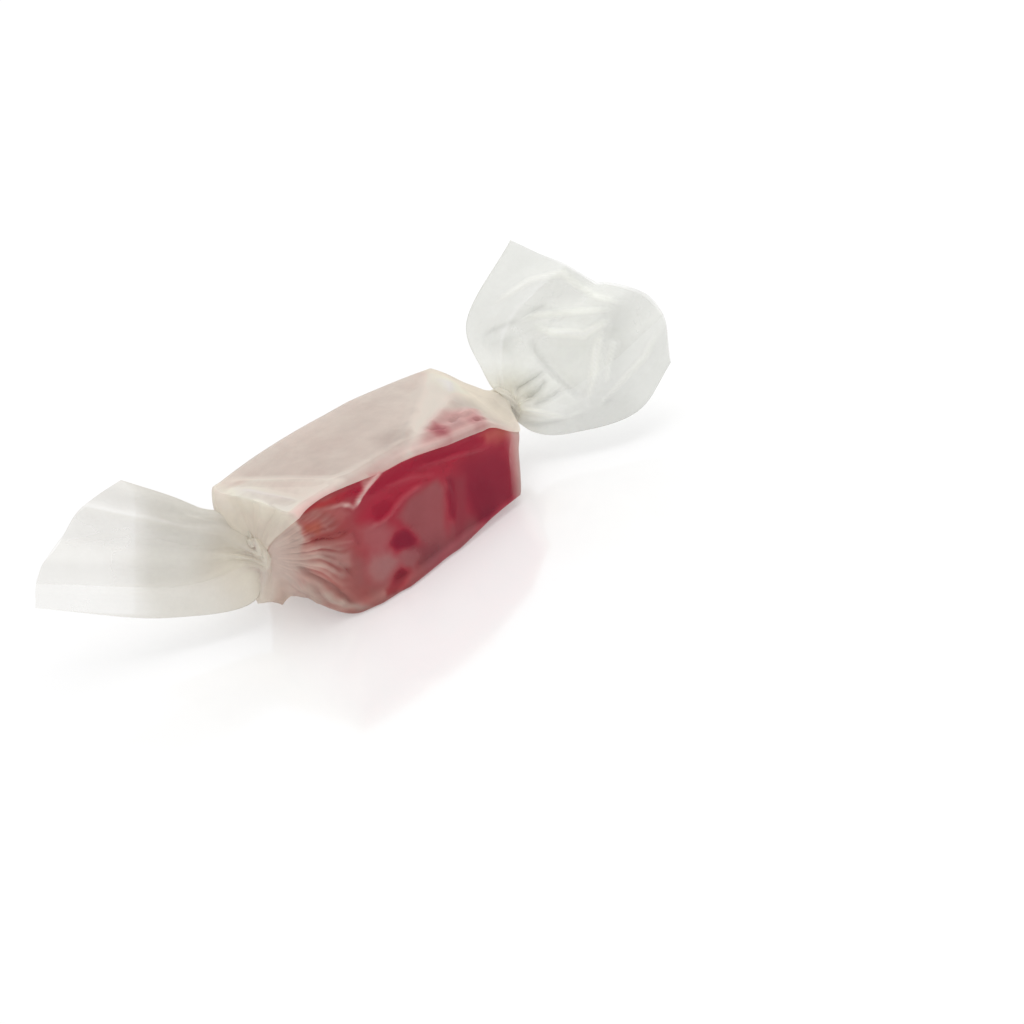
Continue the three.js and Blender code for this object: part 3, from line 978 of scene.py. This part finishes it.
def finish_overlap(film):
    """The overlap is nearly opaque on top, with patches of painted light and painted shade, and its free
    edge and left rim are painted lighter, as a painted highlight.
    """
    paint(film, "milk", 0.74, film.outer)
    paint(film, "cling", 0.0, film.outer)
    places = (film.x + 0.5 * film.warp, (film.share - 1) * FILM_ROUND)
    paint_patches(film, OUTER_PATCHES, film.outer, *places)
    # Painted light on the lit patches and painted shade on the shaded ones; both change the milkiness
    # too.
    lighter = film.outer * film.on_block * patch_sum(LIT_PATCHES, *places)
    darker = film.outer * film.on_block * patch_sum(SHADED_PATCHES, *places)
    film.shade += lighter + darker
    film.milk += lighter + 0.5 * darker
    inner = 1 - ramp(film.share, 0.115, 0.135)
    paint(film, "milk", 0.5, inner)
    paint(film, "cling", 0.15, inner)
    # Painted highlight along the free edge and on the left rim.
    free_edge = film.on_block * ramp(film.share, OUTER_EDGE - 0.009, OUTER_EDGE - 0.004)
    rim = film.outer * film.on_left * ramp(-film.x, 11, 13.5) * (1 - ramp(film.side_of, 1.6, 2.0))
    film.shade += 0.12 * free_edge + 0.12 * rim


def finish_twists(film):
    """Drawn together towards the twists, it packs into many layers and hides the sweet. The twists get
    painted light, and the right twist's front and the overlap beside it get painted shade.
    """
    side_of, right_front = film.side_of, film.right_front
    paint(film, "milk", 0.93, film.packed)
    kept = film.low_front + 0.3 * right_front * (1 - ramp(side_of, 1.2, 1.6))
    film.cling *= (1 - film.packed * (1 - kept)) * (1 - ramp(side_of, 1.8, 2.0))
    front_knot = right_front * between(side_of, 1.2, 1.7, 2.3, 2.8)
    outer_knot = film.outer * film.on_right * between(side_of, 0.95, 1.3, 2.5, 3)
    # Painted light on the twists, and painted shade on the right twist's front and on the overlap next to
    # it.
    film.shade += 0.08 * between(side_of, 1.7, 2.1, 2.9, 3.2)
    film.shade -= 0.32 * front_knot + 0.15 * right_front * ramp(side_of, 0.95, 1.05)
    film.shade -= 0.2 * outer_knot * ramp(film.share, 1.0, 1.06)


def tail_milk(film, across):
    """One layer veils a little, and two that lie together look like one. The gathers are milkier."""
    out, on_left = film.out, film.on_left
    doubled = (1 - ramp(film.share, 0.12, 0.15)) + ramp(film.share, 0.85, 0.88)
    thinned = 0.2 * ramp(out, 0.45, 0.75) * (1 + 0.5 * ramp(across, 0.5, 1))
    left_single = 0.6 - thinned + 0.28 * (1 - ramp(across, 0.1, 0.4))
    single = blend(0.41, left_single, on_left) * (1 - 0.28 * doubled)
    behind = on_left * (film.share > 0.25) * (film.share < 0.75)
    cut = ramp(out / cut_limit(LEFT, film.share[0]), 0.86, 1) * behind
    root = 1 - ramp(out, 0.0, blend(0.15, 0.4, on_left))
    gathered = 0.12 * np.clip(film.gathered, -0.3, 0.5)
    return blend(single * (1 - 0.5 * cut), blend(0.7, 0.85, on_left), root) + gathered


def finish_tails(film):
    """Beyond the twists the film is clear, less and less ivory, and shows none of the sweet. The left
    tail gets painted shade on one side and painted light on the other, and the right tail's root gets
    painted light.
    """
    out, on_tail, on_left = film.out, film.on_tail, film.on_left
    across = around(film.share)[1]
    paint(film, "milk", tail_milk(film, across), on_tail)
    film.cling *= 1 - on_tail
    cleared = blend(0.9, 0.8, on_left) * ramp(out, -0.1, blend(0.2, 0.45, on_left)) * on_tail
    greyed = blend(0.45, 0.25, on_left) * ramp(film.side_of, blend(1.6, 2, on_left), 2.5)
    film.ivory = blend(0.8, 1.0, film.packed) * (1 - cleared) * (1 - greyed)
    # Painted shade and light across the left tail, and painted light at the right tail's root.
    film.shade += 0.1 * on_tail * on_left * (ramp(across, 0.5, 0.9) - 0.5)
    film.shade += 0.2 * on_tail * film.on_right * (1 - ramp(out, 0.15, 0.5))
    film.warm += 0.05 * on_tail * on_left


def finish_creases(film):
    """A light crease is milky, hides the sweet and gets a painted highlight. A dark one gets painted
    shade, and in the tails is a little milky too.
    """
    film.milk += 0.5 * np.maximum(film.painted_light_and_milk, 0) + 0.3 * np.maximum(-film.painted_light_and_milk, 0) * film.on_tail
    # Painted highlight on light creases, painted shade on dark ones.
    film.shade += 0.9 * film.painted_light_and_milk
    film.cling *= 1 - np.clip(1.3 * film.painted_light_and_milk, 0, 1)


def film_finish(film):
    """How milky, ivory and warm the film looks, its painted light and shade, how much red shows, and how
    light the red is.
    """
    mark_regions(film)
    plain = np.ones(film.spot.shape)
    film.milk = 0.6 * plain
    film.cling = 0.81 * plain
    film.tone = 0.5 * plain
    film.shade = 0.5 * plain
    film.warm = 0 * plain
    finish_left_end(film)
    finish_front(film)
    finish_hidden_sides(film)
    finish_overlap(film)
    finish_twists(film)
    finish_tails(film)
    finish_creases(film)
    film.cling = 1 - (1 - np.clip(film.cling, 0, 1)) ** 2
    return {look: np.clip(getattr(film, look), 0, 1) for look in LOOKS}


# The sweet

def candy_stations():
    """Rings from the right end's middle to the left end's, and how far each is drawn in."""
    share = np.arange(CANDY_COLUMNS) / CANDY_COLUMNS
    for inset in np.linspace(CANDY_CLOSED, CANDY_RADIUS, 8)[:-1]:
        yield block_point(share, CANDY_END), inset
    for turn in np.linspace(0, math.pi / 2, 9):
        x = CANDY_END - CANDY_RADIUS * (1 - math.cos(turn))
        yield block_point(share, x), CANDY_RADIUS * (1 - math.sin(turn))
    for x in np.linspace(CANDY_END - CANDY_RADIUS, -BLOCK_LENGTH / 2, 52)[1:]:
        yield block_point(share, x), 0
    for turn in np.linspace(0, math.pi / 2, 14)[1:]:
        yield end_point(LEFT, share, CANDY_BULGE * math.sin(turn)), LEFT_INSET * (1 - math.cos(turn))
    for inset in np.linspace(LEFT_INSET, CANDY_CLOSED, 10)[1:]:
        yield end_point(LEFT, share, CANDY_BULGE), inset


def candy_ring(ring, inset):
    """One ring of the sweet, a little within the film and lower than it towards the right."""
    x, y, z = np.moveaxis(ring, -1, 0)
    shrink = 1 - inset / CANDY_HALF
    along = 2 * x / BLOCK_LENGTH
    lowered = np.interp(along, (-1, 0.2, 1), (0.95, 0.7, 0.35))
    level = 0.15 + z * (1 - (0.15 + lowered) / FILM_TOP) - drawn_down(ring)
    bulged = 0.45 + 1.2 * np.clip(z / FILM_TOP, 0, 1) * ramp(y, -4, 6)
    ring = np.stack([
        x + smooth(-1.4 * along) * bulged,
        y * 0.972 * shrink,
        blend(CANDY_MIDDLE, level, shrink),
    ], axis=-1)
    ring[..., 2] += foot_rise(ring)
    return ring


def swollen(points):
    """The sweet's skin, a little uneven."""
    rng = np.random.default_rng(11)
    waves = rng.normal(size=(12, 3)) * 0.4
    phases = rng.random(12) * 2 * math.pi
    swell = np.sin(points @ waves.T + phases).sum(axis=1) * 0.03 - 0.05
    outward = unit((points - np.array([0, 0, 6])) * (0.3, 1, 1))
    return points + outward * swell[:, None]


def make_candy():
    """The sugar block: it fills the film's block, a little smaller, and its left end bulges."""
    rings = [candy_ring(ring, inset) for ring, inset in candy_stations()]
    points = swollen(np.concatenate(rings))
    faces = [face[::-1] for face in grid_faces(len(rings), CANDY_COLUMNS, closed=True)]
    index = list(range(len(points)))
    faces += [index[:CANDY_COLUMNS], index[-CANDY_COLUMNS:][::-1]]
    return mesh_object("candy", points, faces)


# Materials

def new_material(name):
    material = bpy.data.materials.new(name)
    material.use_nodes = True
    material.node_tree.nodes.clear()
    return material


def add_node(material, kind, sockets=None, **settings):
    """Shader node with its settings. A socket is given a value, or linked from another's output."""
    tree = material.node_tree
    node = tree.nodes.new("ShaderNode" + kind)
    for key, value in settings.items():
        setattr(node, key, value)
    for key, value in (sockets or {}).items():
        if isinstance(value, bpy.types.NodeSocket):
            tree.links.new(value, node.inputs[key])
        else:
            node.inputs[key].default_value = value
    return node


def noise(material, scale, detail, roughness):
    place = add_node(material, "TexCoord").outputs["Object"]
    sockets = {"Vector": place, "Scale": scale, "Detail": detail, "Roughness": roughness}
    return add_node(material, "TexNoise", sockets).outputs["Fac"]


def bumped(material, height, strength, distance):
    sockets = {"Height": height, "Strength": strength, "Distance": distance}
    return add_node(material, "Bump", sockets).outputs["Normal"]


def mapped(material, value, source, target):
    """A value mapped from one range to another."""
    names = ("From Min", "From Max", "To Min", "To Max")
    sockets = dict(zip(names, (*source, *target)), Value=value)
    return add_node(material, "MapRange", sockets).outputs["Result"]


def mixed(material, share, first, second, **settings):
    sockets = {0: share, 6: first, 7: second}
    return add_node(material, "Mix", sockets, data_type="RGBA", **settings).outputs[2]


def product(material, first, second, **settings):
    return add_node(material, "Math", {0: first, 1: second}, operation="MULTIPLY", **settings).outputs[0]


def film_color(material, look):
    """The film's own tint, or the sweet's red where it clings, browned in places, and multiplied by its
    painted light and shade.
    """
    tint = mixed(material, look["ivory"], CLEAR_TINT, IVORY_TINT)
    red = mixed(material, look["tone"], DEEP_RED, BRIGHT_RED)
    coat = mixed(material, look["cling"], tint, red)
    browned = mixed(material, look["warm"], coat, WARM_BROWN)
    # The shade attribute carries painted light and shade, multiplied into the colour.
    level = mapped(material, look["shade"], (0, 1), (0.7, 1.3))
    return mixed(material, 1.0, browned, level, blend_type="MULTIPLY", clamp_result=True)


def film_cover(material, look):
    """How much the film hides: it's cloudy, and milkier where it's seen along its surface."""
    cloudy = mapped(material, noise(material, 420.0, 4.0, 0.55), (0.3, 0.7), (0.92, 1.08))
    facing = add_node(material, "LayerWeight", {"Blend": 0.5}).outputs["Facing"]
    thicker = mapped(material, facing, (0.45, 1.0), (1.0, 1.9))
    return product(material, product(material, look["milk"], cloudy), thicker, use_clamp=True)


def film_material():
    """A shiny skin that lets light through where it stands off the sweet, and is partly clear."""
    material = new_material("film")
    node = partial(add_node, material)
    look = {name: node("Attribute", attribute_name=name).outputs["Fac"] for name in LOOKS}
    color = film_color(material, look)
    normal = bumped(material, noise(material, 900.0, 5.0, 0.6), 0.35, 0.00012)
    skin = node("BsdfPrincipled", {"Base Color": color, "Roughness": 0.32, "IOR": 1.33, "Normal": normal})
    glow = node("BsdfTranslucent", {"Color": color, "Normal": normal})
    apart = node("Math", {0: look["cling"], 1: -0.45, 2: 0.45}, operation="MULTIPLY_ADD")
    lit = node("MixShader", {0: apart.outputs[0], 1: skin.outputs[0], 2: glow.outputs[0]})
    clear = node("BsdfTransparent")
    cover = film_cover(material, look)
    both = node("MixShader", {0: cover, 1: clear.outputs[0], 2: lit.outputs[0]})
    node("OutputMaterial", {"Surface": both.outputs[0]})
    return material


def candy_material():
    material = new_material("candy")
    node = partial(add_node, material)
    tint = node("ValToRGB", {"Fac": noise(material, 180.0, 3.0, 0.5)})
    for element, (position, color) in zip(tint.color_ramp.elements, SUGAR_REDS):
        element.position = position
        element.color = color
    skin = node("BsdfPrincipled", {
        "Base Color": tint.outputs["Color"],
        "Roughness": 0.2,
        "IOR": 1.22,
        "Subsurface Weight": 0.25,
        "Subsurface Radius": (1.0, 0.2, 0.15),
        "Subsurface Scale": 0.003,
        "Normal": bumped(material, noise(material, 330.0, 3.0, 0.5), 0.4, 0.0003),
    })
    node("OutputMaterial", {"Surface": skin.outputs[0]})
    return material


def floor_material():
    material = new_material("floor")
    skin = add_node(material, "BsdfPrincipled", {
        "Base Color": (0.6, 0.6, 0.6, 1),
        "Roughness": 0.1,
        "IOR": 2.2,
        "Emission Color": (1, 1, 1, 1),
        "Emission Strength": 0.34,
    })
    add_node(material, "OutputMaterial", {"Surface": skin.outputs[0]})
    return material


# Stage

def make_floor():
    reach = 1500
    corners = [(-reach, -reach, 0), (reach, -reach, 0), (reach, reach, 0), (-reach, reach, 0)]
    floor = mesh_object("floor", corners, [[0, 1, 2, 3]])
    floor.data.materials.append(floor_material())
    floor.location.z = -0.02 * MM


def make_light(name, place, target, size, power):
    data = bpy.data.lights.new(name, "AREA")
    data.shape = "DISK"
    data.size = size
    data.energy = power
    light = bpy.data.objects.new(name, data)
    light.location = Vector(place) * MM
    way = Vector(target) * MM - light.location
    light.rotation_euler = way.to_track_quat("-Z", "Y").to_euler()
    bpy.context.collection.objects.link(light)


def make_stage():
    make_floor()
    world = bpy.data.worlds.new("world")
    world.use_nodes = True
    background = world.node_tree.nodes["Background"]
    background.inputs["Color"].default_value = (1, 1, 1, 1)
    background.inputs["Strength"].default_value = 0.78
    bpy.context.scene.world = world
    bpy.context.scene.view_settings.view_transform = "Standard"
    make_light("overhead", place=(140, 20, 460), target=(0, 0, 5), size=0.4, power=0.95)


make_camera()
make_stage()

candy = make_candy()
candy.data.materials.append(candy_material())
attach(candy, "root")
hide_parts(NODE)

film = make_film()
film.data.materials.append(film_material())
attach(film, "root")
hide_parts(NODE)

bpy.context.view_layer.update()
